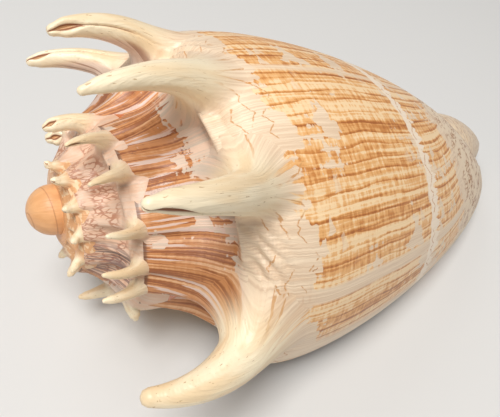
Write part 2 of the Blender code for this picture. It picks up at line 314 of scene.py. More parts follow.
def buildBody():
    angles = np.arange(math.radians(coil["lipAngle"]), -coil["turns"] * turn, -body["column"])
    rampRuns = -rampLength * (1 - np.linspace(0, 1, body["rampRows"] + 1)[:-1])
    flankRuns = flankLength * np.linspace(0, 1, body["flankRows"] + 1) ** body["crowding"]
    runs = np.concatenate([rampRuns, flankRuns])
    deepest = math.radians(coil["lipAngle"]) - turn - body["mouthDepth"]
    places = outside(angles[None, :], runs[:, None])
    keep = np.ones((len(runs) - 1, len(angles) - 1), bool)
    middleRun = 0.5 * (runs[:-1] + runs[1:])
    middleAngle = 0.5 * (angles[:-1] + angles[1:])
    under = middleRun[:, None] > sutureRun + body["coveredFrom"]
    keep &= ~(under & (middleAngle[None, :] < deepest))
    for values in spines.values():
        older, younger, flankSide, rampSide = rootReach(values)
        size = growthAt(math.radians(values[0]))
        sideways = (middleAngle - math.radians(values[0])) * shoulderRadius * size
        sideways = sideways / np.where(sideways > 0, younger, older)
        across = middleRun * size / np.where(middleRun > 0, flankSide, rampSide)
        keep &= np.hypot(sideways[None, :], across[:, None]) > root["hole"]
    early = rising(-angles, *earlyWhorls["tan"]) + rising(-angles, *earlyWhorls["dome"])
    covered = under & (middleAngle[None, :] < math.radians(coil["lipAngle"]) - turn)
    along = angles[None, :] * shoulderRadius
    given = {"along": along, "across": runs[:, None], "early": early[None, :]}
    addGrid(places, keep=keep & ~covered, **given)
    addGrid(places, keep=keep & covered, kind=1, piece="shellMouth", inside=1.0, **given)
    return angles, runs, places


lip = {
    "edge": 0.0016,
    "thickness": 0.0032,
    "thickening": math.radians(14),
    "roundSteps": 6,
}


def buildMouth(angles, runs, places):
    # Rounded lip edge, then the inside of the outer wall
    normals = surfaceNormals(places)
    ahead = places[:, 0] - places[:, 1]
    ahead /= np.linalg.norm(ahead, axis=1, keepdims=True)
    half = 0.5 * lip["edge"]
    strip = []
    for step in range(lip["roundSteps"] + 1):
        bend = math.pi * step / lip["roundSteps"]
        inward = half * (1 - math.cos(bend)) * normals[:, 0]
        strip.append(places[:, 0] - inward + half * math.sin(bend) * ahead)
    deep = angles > angles[0] - body["mouthDepth"]
    behind = angles[0] - angles[deep]
    thickness = blend(lip["edge"], lip["thickness"], smooth(behind / lip["thickening"]))
    inner = places[:, deep] - thickness[None, :, None] * normals[:, deep]
    strip = np.stack(strip, axis=1)
    across = runs[:, None]
    edgeAlong = angles[0] * shoulderRadius
    edgeInside = np.linspace(0, 1, strip.shape[1])[None, :]
    addGrid(strip, flip=True, along=edgeAlong, across=across, inside=edgeInside)
    innerAlong = angles[deep][None, :] * shoulderRadius
    addGrid(inner, kind=1, flip=True, piece="shellMouth", along=innerAlong, across=across, inside=1.0)


spineShape = {
    "steps": 60,
    "taper": 0.8,
    "tip": (0.88, 0.12),
    "tipThinning": 0.30,
    "thinnedBefore": -50,  # growth angle in degrees: the spines before it thin out at the tip
    "bigFrom": 0.0035,  # root radius from which a spine takes the finer grid
    "finer": (48, 16, 40),  # places around, rings of the root, rings of the tube
    "coarser": (24, 8, 14),
    "closing": (0.5, 0.85, 1.0),
    "closingHeight": 0.8,
}


def spineCourse(values, count):
    # Centre line, thickness and frame along a spine, from just under the shoulder to its tip
    angleDegrees, length, rootLift, tipLift, lean, rootRadius, tipRadius = values
    angle = math.radians(angleDegrees)
    size = growthAt(angle)
    fine = spineShape["steps"]
    lifts = np.radians(blend(rootLift, tipLift, (np.arange(fine) + 0.5) / fine))
    step = length / fine
    radii = shoulderRadius * size + np.concatenate([[0], np.cumsum(step * np.sin(lifts))])
    drops = shoulderDrop * size - np.concatenate([[0], np.cumsum(step * np.cos(lifts))])
    shares = np.linspace(0, 1, fine + 1)
    line = upright(angle + math.radians(lean) * shares, radii, drops)
    wanted = np.linspace(0, 1, count)
    centres = np.stack([np.interp(wanted, shares, line[:, axis]) for axis in range(3)], axis=1)
    tangents = np.gradient(centres, axis=0)
    tangents /= np.linalg.norm(tangents, axis=1, keepdims=True)
    forward = np.array([math.sin(-angle), -math.cos(angle), 0.0])
    forward = forward - (tangents @ forward)[:, None] * tangents
    forward /= np.linalg.norm(forward, axis=1, keepdims=True)
    side = np.cross(tangents, forward)
    thickness = blend(rootRadius, tipRadius, np.clip(wanted, 0, 1) ** spineShape["taper"])
    if angleDegrees < spineShape["thinnedBefore"]:
        thickness = thickness * (1 - spineShape["tipThinning"] * rising(wanted, *spineShape["tip"]))
    return wanted, centres, tangents, forward, side, thickness


slot = {
    "tipShare": 0.72,  # the slot opens from here to the tip
    "tipDepth": 0.80,
    "tipWidth": 0.98,
    "seamDepth": 0.16,
    "seamWidth": 0.16,
    "opening": 0.2,
    "closing": (0.93, 0.07),
    "closingShare": 0.6,
    "deepFrom": 0.0021,  # spines with a thinner root have a shallower slot
    "shallow": 0.35,
    "crowding": 0.55,  # places stand closer together at the slot
    # The slot's colouring, partly painted shade in the groove: where along the spine it starts, and its
    # strength on the closed seam
    "colourFrom": 0.3,
    "seamColour": 0.5,
    # Degrees towards the flank
    "turned": {"second": 22, "third": -75, "fourth": 12, "fifth": 24, "sixth": -60, "sixteenth": 50},
}


def buildSpine(name, values, around, flareRings, tubeRings):
    shares, centres, tangents, forward, side, thickness = spineCourse(values, flareRings + tubeRings)
    theta = turn * np.arange(around) / around
    slotBearing = math.radians(slot["turned"].get(name, 0))
    bearing = theta - slot["crowding"] * np.sin(theta - slotBearing)
    rings = []
    spineMark = []
    slotMark = []
    for place in range(flareRings + tubeRings):
        share = shares[place]
        closed = slot["closingShare"] * rising(share, *slot["closing"])
        opened = rising(share, slot["tipShare"], slot["opening"]) * (1 - closed)
        width = blend(slot["seamWidth"], slot["tipWidth"], opened)
        depth = blend(slot["seamDepth"], slot["tipDepth"], opened)
        depth = depth * (1.0 if values[5] > slot["deepFrom"] else slot["shallow"])
        apart = np.abs((bearing - slotBearing + math.pi) % turn - math.pi)
        groove = 1 - depth * (1 - smooth(apart / width))
        radius = thickness[place] * groove
        ahead = (radius * np.cos(bearing))[:, None] * forward[place]
        ring = centres[place] + ahead + (radius * np.sin(bearing))[:, None] * side[place]
        rise = place / flareRings
        if rise < 1:
            rootShare = blend(1.0, root["inner"], rise)
            lifted = root["rise"] * values[5] * rise ** 2 - (root["sink"] if place == 0 else 0.0)
            onBody = outside(*rootPlace(values, rootShare, bearing)) + lifted * tangents[0]
            ring = blend(onBody, ring, smooth(rise))
        rings.append(ring)
        spineMark.append(min(rise, 1.0))
        # Painted shade, partly the spine's own tint: the groove is coloured darker, at half strength
        # along the closed seam and in full where the slot opens
        colouring = smooth(rise - slot["colourFrom"]) * blend(slot["seamColour"], 1.0, opened)
        slotMark.append((1 - smooth(apart / width)) * colouring)
    # The tip closes over a small round end
    last = len(shares) - 1
    for bend in spineShape["closing"]:
        close = math.cos(bend * math.pi / 2)
        ahead = spineShape["closingHeight"] * thickness[last] * math.sin(bend * math.pi / 2)
        middle = centres[last] + ahead * tangents[last]
        rings.append(middle + close * (rings[last] - centres[last]))
        spineMark.append(1.0)
        slotMark.append(slotMark[-1])
    rings = np.stack(rings)
    rootShares = np.clip(np.linspace(1.0, 0.0, len(rings)), 0, 1)
    angle, across = rootPlace(values, rootShares[:, None], bearing[None, :])
    early = rising(-math.radians(values[0]), *earlyWhorls["tan"])
    given = {"along": angle * shoulderRadius, "across": across, "early": 0.9 * early}
    given["spine"] = np.array(spineMark)[:, None]
    given["slot"] = np.array(slotMark)
    addGrid(rings, closed=True, flip=True, piece="shellSpines", **given)


apexDome = {
    "radius": 0.0072,
    "top": 0.0070,
    "length": 0.0190,
    "widening": 0.17,
    "widenedAt": 0.8,
    "opening": 0.02,
    "domeRings": 22,
    "neckRings": 16,
    "around": 96,
}


def buildApex():
    # Large smooth larval shell: a dome on a neck that widens into the first whorl
    radius, top = apexDome["radius"], apexDome["top"]
    lean = np.linspace(apexDome["opening"], 0.5 * math.pi, apexDome["domeRings"])
    radii = list(radius * np.sin(lean))
    drops = list(top + radius * (1 - np.cos(lean)))
    for share in np.linspace(0.05, 1, apexDome["neckRings"]):
        drops.append(top + radius + share * (apexDome["length"] - radius))
        radii.append(radius * (1 + apexDome["widening"] * smooth(share / apexDome["widenedAt"])))
    azimuth = turn * np.arange(apexDome["around"]) / apexDome["around"]
    across = np.array(drops)[:, None]
    places = upright(-azimuth[None, :], np.array(radii)[:, None], across)
    given = {"along": azimuth[None, :] * radius, "across": across, "early": 2.0}
    addGrid(places, closed=True, piece="shellSpines", **given)


pillar = {
    # Drop, radius
    "sections": ((0.070, 0.0075), (0.130, 0.0085), (0.148, 0.0120), (0.160, 0.0152), (0.169, 0.0165),
                 (0.178, 0.0150), (0.187, 0.0112), (0.195, 0.0065), (0.2003, 0.0022)),
    "canal": (0.0065, math.radians(-25), math.radians(75)),  # radius, middle and half width
    "folds": (0.104, 0.114, 0.124, 0.134),
    "foldHeight": 0.0016,
    "foldWidth": 0.0020,
    "foldSlope": 0.010,
    "rings": 150,
    "around": 140,
    "smoothing": 15,
    "tipRadius": 0.0005,
    "closed": 0.00002,
    "markRadius": 0.03,  # the streaks around the columella are drawn as on this radius
}


def buildPillar():
    # Columella with its oblique folds, and the fasciole at the front end
    table = np.array(pillar["sections"])
    drops = np.linspace(table[0, 0], table[-1, 0], pillar["rings"])
    azimuth = turn * np.arange(pillar["around"]) / pillar["around"]
    radii = np.interp(drops, table[:, 0], table[:, 1])
    kernel = np.hanning(pillar["smoothing"])
    kernel = kernel / kernel.sum()
    margin = pillar["smoothing"] // 2
    ending = np.linspace(radii[-1], pillar["tipRadius"], margin)
    padded = np.concatenate([np.full(margin, radii[0]), radii, ending])
    radii = np.convolve(padded, kernel, "valid")
    canalRadius, canalMiddle, canalHalf = pillar["canal"]
    away = np.abs((azimuth - canalMiddle + math.pi) % turn - math.pi)
    pinch = smooth(1 - away / canalHalf)[None, :]
    radius = blend(radii[:, None], np.minimum(radii[:, None], canalRadius), pinch)
    for middle in pillar["folds"]:
        slope = pillar["foldSlope"] * ((azimuth[None, :] - canalMiddle + math.pi) % turn - math.pi)
        offset = (drops[:, None] - middle - slope) / pillar["foldWidth"]
        radius = radius + pillar["foldHeight"] * np.exp(-offset ** 2)
    radius[-1] = pillar["closed"]
    across = drops[:, None]
    places = upright(-azimuth[None, :], radius, across)
    along = azimuth[None, :] * pillar["markRadius"]
    addGrid(places, closed=True, piece="shellMouth", along=along, across=across, pillar=1.0, inside=0.5)


def joinPiece(name, materials):
    gathered = pieces[name]
    mesh = bpy.data.meshes.new(name)
    places = np.concatenate(gathered["places"])
    used, faces = np.unique(np.concatenate(gathered["faces"]), return_inverse=True)
    places = places[used]
    faces = faces.reshape(-1, 4)
    mesh.from_pydata(places.tolist(), [], faces.tolist())
    mesh.transform(standMatrix())
    for mark in marks:
        values = np.concatenate(gathered[mark])[used].astype(np.float32)
        mesh.attributes.new(mark, "FLOAT", "POINT").data.foreach_set("value", values)
    mesh.polygons.foreach_set("material_index", np.concatenate(gathered["kinds"]).astype(np.int32))
    mesh.shade_smooth()
    mesh.update()
    for material in materials:
        mesh.materials.append(material)
    made = bpy.data.objects.new(name, mesh)
    bpy.context.scene.collection.objects.link(made)
    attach(made, "root")
    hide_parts("shell")
    print(name, "mesh:", len(places), "places,", 2 * len(faces), "triangles")


palette = {  # colours as they look on screen, 0 to 255
    "ground": (244, 220, 190),
    "groundShade": (226, 197, 166),
    "bandLight": (249, 216, 170),
    "bandMiddle": (234, 177, 114),
    "bandDark": (205, 136, 74),
    "bandLine": (172, 103, 52),
    "whiteLine": (252, 234, 212),
    "thinLine": (204, 148, 92),
    "rampLight": (232, 188, 146),
    "rampMiddle": (202, 138, 86),
    "rampDark": (156, 94, 54),
    "rampSpeck": (134, 88, 76),
    "seam": (112, 76, 58),
    "rampPale": (228, 198, 174),
    "lilac": (220, 192, 176),
    "pocket": (204, 187, 168),
    "spine": (250, 233, 200),
    "spineShade": (240, 213, 172),
    "spineSpeck": (186, 150, 104),
    "web": (232, 206, 188),
    "webFold": (150, 96, 76),
    # slot rim: brown that is partly the spine's own tint and partly painted shade in the groove
    "slotEdgeTintAndShade": (150, 92, 60),
    "slotInside": (222, 180, 136),
    "front": (238, 214, 182),
    "frontNet": (180, 128, 82),
    "frontStreak": (222, 198, 172),
    "spirePink": (228, 188, 158),
    "spireLine": (178, 116, 86),
    "spireStripe": (124, 96, 92),
    "early": (226, 170, 120),
    "earlyPale": (244, 208, 166),
    "dome": (236, 178, 124),
    "domeShade": (224, 164, 110),
    "domeLine": (186, 122, 78),
    "mouth": (226, 150, 96),
    "mouthDeep": (206, 120, 70),
    "lipEdge": (236, 214, 170),
}

# Places are in millimetres on the lip's whorl: along it, zero at the start of growth angles, and
# across it, zero at the shoulder, below zero on the ramp and above zero on the flank
finish = {
    "lean": 0.0085,  # how far the growth lines swing back towards the front end
    "leanFrom": 80,
    "waveWidth": 2.2,
    "shiverWidth": 0.32,
    "restSpacing": 3.7,  # rests in growth leave a dark line this far apart
    "bandWeights": (0.74, 0.3, -0.055, 0.15),  # streaks, hatching and its offset, rests
    "rampWeights": (0.9, 0.1, 0, 0.1),
    "flankBand": {"From": 16, "To": 101, "Edge": 5, "Patches": 1.9, "Teeth": 1.1, "Combs": 0.9},
    "rampBand": {"From": -40, "Edge": 7, "Patches": 1.1, "Teeth": 1.1, "Combs": 0.9, "Seed": 12},
    "rampBandEnd": -14,
    "rampBandGain": 9,  # the brown comes this much nearer to the shoulder by the last spine
    "whiteBetween": (72.5, 77.5),
    "whiteSoftness": 0.4,
    "whiteSway": (3, 9),
    # Middle, half width, strength
    "paleStripes": ((-108, 3, 1.05), (-42, 4, 2.2), (-15, 15, 1.6)),
    "bigTents": {"Length": 13, "Height": 10, "Share": 0.1, "Seed": 3},
    "smallTents": {"Length": 5, "Height": 3.6, "Share": 0.16, "Seed": 8},
    "rampTents": {"Length": 7, "Height": 6.5, "Share": 0.12, "Seed": 14},
    "bandMiddleLine": 46,
    # Level, height, spacing, width, breaks and seed
    "zigzags": ((2, 9, 17, 0.34, 0.46, 0), (6.5, 7, 12, 0.3, 0.46, 53),
                (11, 8, 9, 0.38, 0.47, 97), (74, 4, 6, 0.36, 0.42, 21)),
    "frontNet": {"Cell": 1.9, "Tall": 3.4, "Width": 0.16, "Seed": 2},
    "spireNet": {"Cell": 2.6, "Tall": 5, "Width": 0.15, "Seed": 6},
    "seamWidth": (1.3, 0.5),
    "domePitch": 5.6,
    "domeLineHalf": 0.05,
    "relief": (0.4, 0.0006),
    "wrinkleHeight": 1.6,
    "worn": (0.2, 0.32),  # roughness: share of the noise, and the least
    "surface": {"Coat Weight": 0.14, "Coat Roughness": 0.22, "Specular IOR Level": 0.4},
}

# Scale along and across a whorl, detail and seed of each noise, and where a mask made of it is
# empty and full
grains = {
    "wave": (0.02, 0.035, 1, 6),
    "shiver": (0.15, 0.8, 2, 51),
    "hatch": (0.2, 0.75, 2, 3.3),
    "growthBroad": (0.24, 0.007, 3, 2.2),
    "growthThin": (0.95, 0.02, 2, 8.4),
    "growthHair": (2.6, 0.05, 2, 4.9),
    "growthWander": (0.1, 0.03, 2, 21),
    "bandPatches": (0.055, 0.045, 1, 3.1),
    "bandTeeth": (0.45, 0.04, 2, 7.7),
    "bandCombs": (0.11, 0.5, 2, 1.3),
    "zigzagWobble": (0.6, 0.6, 2, 0.7),
    "zigzagGaps": (0.12, 0.12, 3, 5.5),
    "zigzagDots": (0.9, 0.9, 1, 35),
    "tentWobble": (0.22, 0.22, 2, 17),
    "netBend": (0.3, 0.3, 2, 1.9),
    "whiteLower": (0.25, 0.05, 2, 41),
    "whiteUpper": (0.5, 0.02, 2, 43),
    "threads": (0.03, 0.62, 1, 31, 0.52, 0.6),
    "bars": (0.5, 0.03, 1, 37, 0.5, 0.58),
    "frontPatches": (0.16, 0.16, 3, 9.1, 0.43, 0.57),
    "rampPaleLines": (0.42, 0.03, 2, 15, 0.59, 0.63),
    "rampSpecks": (1.7, 1.5, 2, 5, 0.52, 0.6),
    "rampSpeckPatches": (0.07, 0.07, 1, 11, 0.5, 0.6),
    "spireNetPatches": (0.06, 0.08, 1, 2, 0.42, 0.52),
    "spireStripes": (0.55, 0.045, 2, 91, 0.44, 0.56),
    "earlyMottle": (0.12, 0.16, 2, 4, 0.5, 0.6),
    "domeShade": (0.25, 0.2, 2, 71, 0.3, 0.7),
    "spineSpecks": (1.1, 1.1, 2, 8, 0.7, 0.76),
    "spineShade": (0.12, 0.12, 2, 3, 0.35, 0.68),
    "webFolds": (0.6, 0.04, 2, 81, 0.53, 0.6),
    "pillarStreaks": (0.1, 1.1, 3, 61, 0.4, 0.6),
    "pillarSpecks": (0.2, 1.3, 3, 66, 0.58, 0.66),
    "wrinkles": (0.85, 0.22, 3, 47),
    "worn": (0.15, 0.15, 3, 13),
}

# Where each other mask is empty and full
steps = {
    "bandsOffStripes": (1.3, 0.3),
    "smallTentsOffMiddle": (12, 26),
    "bandMiddle": (0.41, 0.52),
    "bandDark": (0.52, 0.61),
    "bandLine": (0.62, 0.72),
    "groundShade": (0.38, 0.62),
    "frontAcross": (98, 112),
    "frontOffBands": (0.9, 0.2),
    "rampBandGain": (-78, -44),
    "rampMiddle": (0.36, 0.48),
    "rampDark": (0.5, 0.6),
    "pocket": (0.4, 0.62),
    "rampAcross": (-3, -9),
    "olderAlong": (-338, -352),
    "spireNetAcross": (-8, -14),
    "spirePale": (0.42, 0.6),
    "spireStripesAlong": (-396, -380),
    "spireStripesAcross": (-3, -8),
    "domeMark": (1.2, 1.8),
    "webAcross": (-2.5, -7),
    "webStart": (-262, -250),
    "webEnd": (-116, -126),
    "slotEdgeTintAndShade": (0.3, 0.55),
    "slotInside": (0.62, 0.85),
    "spineMark": (0.15, 0.75),
    "rectanglesOffSpine": (1, 0.4),
    "pillarPale": (140, 150),
    "lipEdge": (0, 0.6),
    "offPillar": (1, 0),
    "wrinklesOffEarly": (0.3, 0),
    "mouth": (-10, -60),
    "mouthDeep": (-60, -160),
}

# Middle and half width of what lies at one place along or across
spans = {
    "rectanglesAlong": (-36, 20),
    "rectanglesAcross": (8, 12),
    "rampSpecksAlong": (-97, 30),
    "wrinklesAcross": (3, 15),
}

# How far each mark hides what is under it
strengths = {
    "whiteLine": 0.75,
    "zigzags": 0.85,
    "rectangles": 0.4,
    "seam": 0.75,
    "spireNet": 0.8,
    "spireStripes": 0.75,
    "domeLine": 0.7,
    "spineSpecks": 0.7,
    "webFolds": 0.75,
    "web": 0.85,
    "pillarSpecks": 0.55,
}


def linear(colour):
    # From a colour as it looks on screen to the value that a shader takes
    shares = [value / 255 for value in colour]
    shares = [((share + 0.055) / 1.055) ** 2.4 if share > 0.0404 else share / 12.92 for share in shares]
    return (*shares, 1)


tone = {name: linear(colour) for name, colour in palette.items()}
building = SimpleNamespace(tree=None)      # the node tree that nodes are added to


def addNode(kind, inputs=None, **settings):
    tree = building.tree
    made = tree.nodes.new(kind)
    for name, value in settings.items():
        setattr(made, name, value)
    for key, value in (inputs or {}).items():
        if isinstance(value, bpy.types.NodeSocket):
            tree.links.new(value, made.inputs[key])
        else:
            made.inputs[key].default_value = value
    return made


def maths(operation, *values):
    return addNode("ShaderNodeMath", dict(enumerate(values)), operation=operation).outputs[0]


def plus(first, second):
    return maths("ADD", first, second)


def times(first, second):
    return maths("MULTIPLY", first, second)


def scaled(value, scale, offset=0.0):
    return maths("MULTIPLY_ADD", value, scale, offset)


def swayed(value, noise, width):
    # A value swung to both sides by noise
    return plus(value, scaled(noise, width, -0.5 * width))


def cutOut(mask, hole):
    return times(mask, scaled(hole, -1.0, 1.0))


def stepUp(value, low, high):
    inputs = {"Value": value, "From Min": low, "From Max": high}
    return addNode("ShaderNodeMapRange", inputs, interpolation_type="SMOOTHSTEP").outputs["Result"]


def stepAt(value, name):
    return stepUp(value, *steps[name])


def bump01(value, middle, halfWidth):
    # 1 at the middle, falling to 0 at half a width to each side
    away = maths("ABSOLUTE", maths("SUBTRACT", value, middle))
    return stepUp(away, halfWidth, 0.0)


def mixed(share, first, second):
    made = addNode("ShaderNodeMix", {0: share, 6: first, 7: second}, data_type="RGBA")
    return made.outputs[2]


def painted(colour, share, name, mark=None):
    # One tone over a colour, at full strength or at the mark's own
    if mark:
        share = scaled(share, strengths[mark])
    return mixed(share, colour, tone[name])


def attributeOf(name):
    return addNode("ShaderNodeAttribute", attribute_name=name).outputs["Fac"]


def grainAt(along, across, name):
    # Noise drawn out along the growth lines or across them
    alongScale, acrossScale, detail, seed = grains[name][:4]
    place = addNode("ShaderNodeCombineXYZ", {
        0: scaled(along, alongScale, seed),
        1: scaled(across, acrossScale, seed)})
    inputs = {"Vector": place.outputs[0], "Scale": 1.0, "Detail": detail}
    return addNode("ShaderNodeTexNoise", inputs, noise_dimensions="2D").outputs["Fac"]


def newGroup(draw, inputs):
    # A node group named after its function, which takes the inputs and gives the outputs
    group = bpy.data.node_groups.new(draw.__name__, "ShaderNodeTree")
    building.tree = group
    for label in ("Along", "Across", *inputs):
        group.interface.new_socket(label, in_out="INPUT", socket_type="NodeSocketFloat")
    made = draw(addNode("NodeGroupInput").outputs)
    for label in made:
        group.interface.new_socket(label, in_out="OUTPUT", socket_type="NodeSocketFloat")
    addNode("NodeGroupOutput", made)
    return group


def placeGroup(name, along, across, **sizes):
    inputs = {"Along": along, "Across": across, **sizes}
    return addNode("ShaderNodeGroup", inputs, node_tree=groups[name]).outputs


def toothedBand(given):
    # A band of colour across the whorl, with jagged teeth and gaps of bare ground
    lower = maths("SUBTRACT", given["Across"], given["From"])
    upper = maths("SUBTRACT", given["To"], given["Across"])
    depth = maths("DIVIDE", maths("MINIMUM", lower, upper), given["Edge"])
    depth = maths("MINIMUM", maths("MAXIMUM", depth, -1.6), 1.0)
    along = plus(given["Along"], given["Seed"])
    for name, grain in (("Patches", "bandPatches"), ("Teeth", "bandTeeth"), ("Combs", "bandCombs")):
        ragged = scaled(grainAt(along, given["Across"], grain), 2.0, -1.0)
        depth = maths("MULTIPLY_ADD", ragged, given[name], depth)
    return {"Mask": stepUp(depth, -0.10, 0.10)}


def brokenZigzag(given):
    # A thin line that runs round the whorl in uneven peaks and stops here and there
    across = given["Across"]
    along = plus(given["Along"], given["Seed"])
    inputs = {"W": maths("DIVIDE", along, given["Spacing"]), "Scale": 1.0}
    peaks = addNode("ShaderNodeTexVoronoi", inputs, voronoi_dimensions="1D").outputs["Distance"]
    path = maths("MULTIPLY_ADD", peaks, given["Height"], given["Level"])
    path = swayed(path, grainAt(along, across, "zigzagWobble"), 1.3)
    away = maths("ABSOLUTE", maths("SUBTRACT", across, path))
    line = stepUp(maths("DIVIDE", away, given["Width"]), 1.0, 0.55)
    gaps = maths("SUBTRACT", grainAt(along, across, "zigzagGaps"), given["Breaks"])
    dots = stepUp(grainAt(along, across, "zigzagDots"), 0.36, 0.50)
    gate = times(stepUp(gaps, -0.02, 0.03), scaled(dots, 0.75, 0.25))
    return {"Mask": times(line, gate)}


def growthRelief(given):
    # Growth lines: Height for the relief, Streak and Fine for the colour, Rest for the darkest lines
    along, across = given["Along"], given["Across"]
    broad = grainAt(along, across, "growthBroad")
    thin = grainAt(along, across, "growthThin")
    hair = grainAt(along, across, "growthHair")
    streak = plus(scaled(broad, 0.55), scaled(thin, 0.45))
    height = plus(scaled(hair, 0.35), scaled(thin, 0.65))
    wander = scaled(grainAt(along, across, "growthWander"), 1.2)
    rest = maths("FRACT", plus(maths("DIVIDE", along, finish["restSpacing"]), wander))
    line = times(stepUp(rest, 0.62, 0.93), stepUp(rest, 1.0, 0.95))
    return {"Height": height, "Streak": streak, "Fine": hair, "Rest": line}


def tents(given):
    # White triangles with one straight side, in ragged rows
    wobble = grainAt(given["Along"], given["Across"], "tentWobble")
    along = maths("DIVIDE", plus(given["Along"], given["Seed"]), given["Length"])
    along = plus(along, scaled(wobble, 0.5))
    row = maths("FLOOR", along)
    shift = addNode("ShaderNodeTexWhiteNoise", {"W": row}, noise_dimensions="1D").outputs["Value"]
    across = maths("DIVIDE", given["Across"], given["Height"])
    across = plus(across, scaled(wobble, 0.8))
    across = maths("MULTIPLY_ADD", shift, 3.0, across)
    cell = addNode("ShaderNodeCombineXYZ", {0: row, 1: maths("FLOOR", across), 2: given["Seed"]})
    chance = addNode("ShaderNodeTexWhiteNoise", {"Vector": cell.outputs[0]}, noise_dimensions="3D")
    present = maths("LESS_THAN", chance.outputs["Value"], given["Share"])
    apart = maths("ABSOLUTE", scaled(maths("FRACT", across), 2.0, -1.0))
    inside = maths("SUBTRACT", maths("FRACT", along), apart)
    return {"Mask": times(stepUp(inside, 0.0, 0.06), present)}


def net(given):
    # Fish-scale net of thin lines
    bend = scaled(grainAt(given["Along"], given["Across"], "netBend"), 2.5)
    place = addNode("ShaderNodeCombineXYZ", {
        0: maths("DIVIDE", plus(bend, given["Along"]), given["Cell"]),
        1: maths("DIVIDE", plus(bend, given["Across"]), given["Tall"]),
        2: given["Seed"]})
    inputs = {"Vector": place.outputs[0], "Scale": 1.0}
    settings = {"voronoi_dimensions": "3D", "feature": "DISTANCE_TO_EDGE"}
    cells = addNode("ShaderNodeTexVoronoi", inputs, **settings)
    edge = maths("DIVIDE", cells.outputs["Distance"], given["Width"])
    return {"Mask": stepUp(edge, 1.0, 0.4)}


def readSpot():
    # Where a point of the surface is on the shell, and the growth lines there
    spot = SimpleNamespace(**{mark: attributeOf(mark) for mark in marks[2:]})
    spot.rawAlong = scaled(attributeOf("along"), 1000.0)
    spot.across = scaled(attributeOf("across"), 1000.0)
    past = maths("MAXIMUM", maths("SUBTRACT", spot.across, finish["leanFrom"]), 0.0)
    along = plus(spot.rawAlong, times(times(past, past), finish["lean"]))
    along = swayed(along, grainAt(spot.rawAlong, spot.across, "wave"), finish["waveWidth"])
    shiver = grainAt(along, spot.across, "shiver")
    spot.along = swayed(along, shiver, finish["shiverWidth"])
    spot.lines = placeGroup("growthRelief", spot.along, spot.across)
    spot.hatch = grainAt(spot.along, spot.across, "hatch")
    return spot


def grainOn(spot, name):
    return grainAt(spot.along, spot.across, name)


def grainOnRaw(spot, name):
    return grainAt(spot.rawAlong, spot.across, name)


def stepOn(spot, name):
    return stepUp(grainOn(spot, name), *grains[name][4:])


def stepOnRaw(spot, name):
    return stepUp(grainOnRaw(spot, name), *grains[name][4:])


def markOn(spot, group, name, **sizes):
    return placeGroup(group, spot.along, spot.across, **finish[name], **sizes)["Mask"]


def shades(value, lightest, *darker):
    # From the lightest tone to darker ones, as the value rises over each one's step
    colour = tone[lightest]
    for name in darker:
        colour = painted(colour, stepAt(value, name), name)
    return colour


def growthShade(spot, weights):
    streak, hatch, offset, rest = weights
    shade = plus(scaled(spot.lines["Streak"], streak), scaled(spot.hatch, hatch, offset))
    return plus(shade, scaled(spot.lines["Rest"], rest))


def flankMasks(spot):
    # The coloured bands, and the white spiral line between them
    stripes = 0.0
    for middle, halfWidth, strength in finish["paleStripes"]:
        dip = scaled(bump01(spot.along, middle, halfWidth), strength)
        stripes = plus(dip, stripes)
    bands = markOn(spot, "toothedBand", "flankBand")
    bands = times(bands, stepAt(stripes, "bandsOffStripes"))
    low, high = finish["whiteBetween"]
    lowSway, highSway = finish["whiteSway"]
    lower = swayed(spot.across, grainOn(spot, "whiteLower"), lowSway)
    upper = swayed(spot.across, grainOn(spot, "whiteUpper"), highSway)
    lower = stepUp(lower, low, low + finish["whiteSoftness"])
    upper = stepUp(upper, high + finish["whiteSoftness"], high)
    whiteLine = times(lower, upper)
    bands = cutOut(bands, whiteLine)
    offMiddle = maths("ABSOLUTE", scaled(spot.across, 1.0, -finish["bandMiddleLine"]))
    smallTents = markOn(spot, "tents", "smallTents")
    smallTents = times(smallTents, stepAt(offMiddle, "smallTentsOffMiddle"))
    bigTents = markOn(spot, "tents", "bigTents")
    return cutOut(bands, maths("MAXIMUM", bigTents, smallTents)), whiteLine


def flankColour(spot, bands, whiteLine):
    dark = growthShade(spot, finish["bandWeights"])
    band = shades(dark, "bandLight", "bandMiddle", "bandDark", "bandLine")
    shade = plus(scaled(spot.lines["Streak"], 0.5), scaled(spot.lines["Fine"], 0.5))
    ground = shades(shade, "ground", "groundShade")
    colour = mixed(bands, ground, band)
    colour = painted(colour, whiteLine, "whiteLine", "whiteLine")
    for values in finish["zigzags"]:
        sizes = dict(zip(groupInputs[brokenZigzag], values))
        mask = placeGroup("brokenZigzag", spot.along, spot.across, **sizes)["Mask"]
        colour = painted(colour, mask, "thinLine", "zigzags")
    # The pale front end has a net of brown lines
    net = times(markOn(spot, "net", "frontNet"), stepOn(spot, "frontPatches"))
    front = times(stepAt(spot.across, "frontAcross"), stepAt(bands, "frontOffBands"))
    return mixed(front, colour, mixed(net, tone["front"], tone["frontNet"]))


def rampColour(spot):
    # Brown streaks with pale lines and specks, over the pale pockets and along the suture
    gain = stepAt(spot.rawAlong, "rampBandGain")
    end = scaled(gain, finish["rampBandGain"], finish["rampBandEnd"])
    mask = markOn(spot, "toothedBand", "rampBand", To=end)
    mask = cutOut(mask, markOn(spot, "tents", "rampTents"))
    dark = growthShade(spot, finish["rampWeights"])
    brown = shades(dark, "rampLight", "rampMiddle", "rampDark")
    brown = painted(brown, stepOn(spot, "rampPaleLines"), "lilac")
    patches = bump01(spot.rawAlong, *spans["rampSpecksAlong"])
    patches = times(stepOn(spot, "rampSpeckPatches"), patches)
    brown = painted(brown, times(stepOn(spot, "rampSpecks"), patches), "rampSpeck")
    pale = shades(spot.lines["Streak"], "rampPale", "pocket")
    colour = mixed(mask, pale, brown)
    suture = -1000 * rampLength
    outer, inner = finish["seamWidth"]
    return painted(colour, stepUp(spot.across, suture + outer, suture + inner), "seam", "seam")


